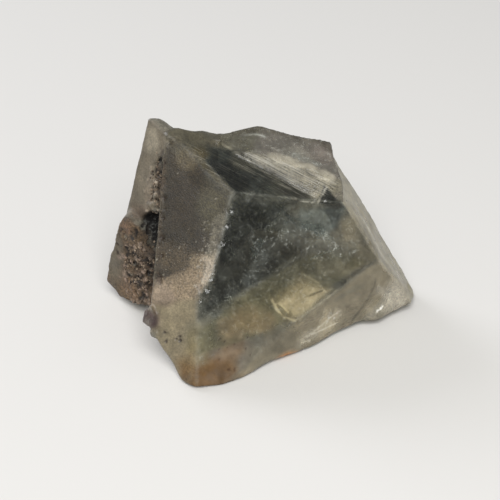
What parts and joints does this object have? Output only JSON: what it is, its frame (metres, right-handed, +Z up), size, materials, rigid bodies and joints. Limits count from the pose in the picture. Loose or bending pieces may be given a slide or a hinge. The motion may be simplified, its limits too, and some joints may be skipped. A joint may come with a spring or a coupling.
{
  "type": "smoky blue-grey quartz chunk",
  "caption": "Hand-sized broken chunk of translucent blue-grey quartz with flat cleaved faces, a striated crown and a crevice; a mineral specimen that rests on its flat base.",
  "frame": {"origin": "on the flat base, under the middle of the stone", "axes": "+Z up, +X along the long foot towards the thin toe, -Y towards the big clear front face"},
  "size_m": [0.0597, 0.0386, 0.0378],
  "materials": {
    "quartz": "clear smoky blue-grey quartz under frosted, finely pitted faces, with brown iron stain in the crevice"
  },
  "bodies": {
    "root": {"quartz": "quartz"}
  },
  "joints": []
}
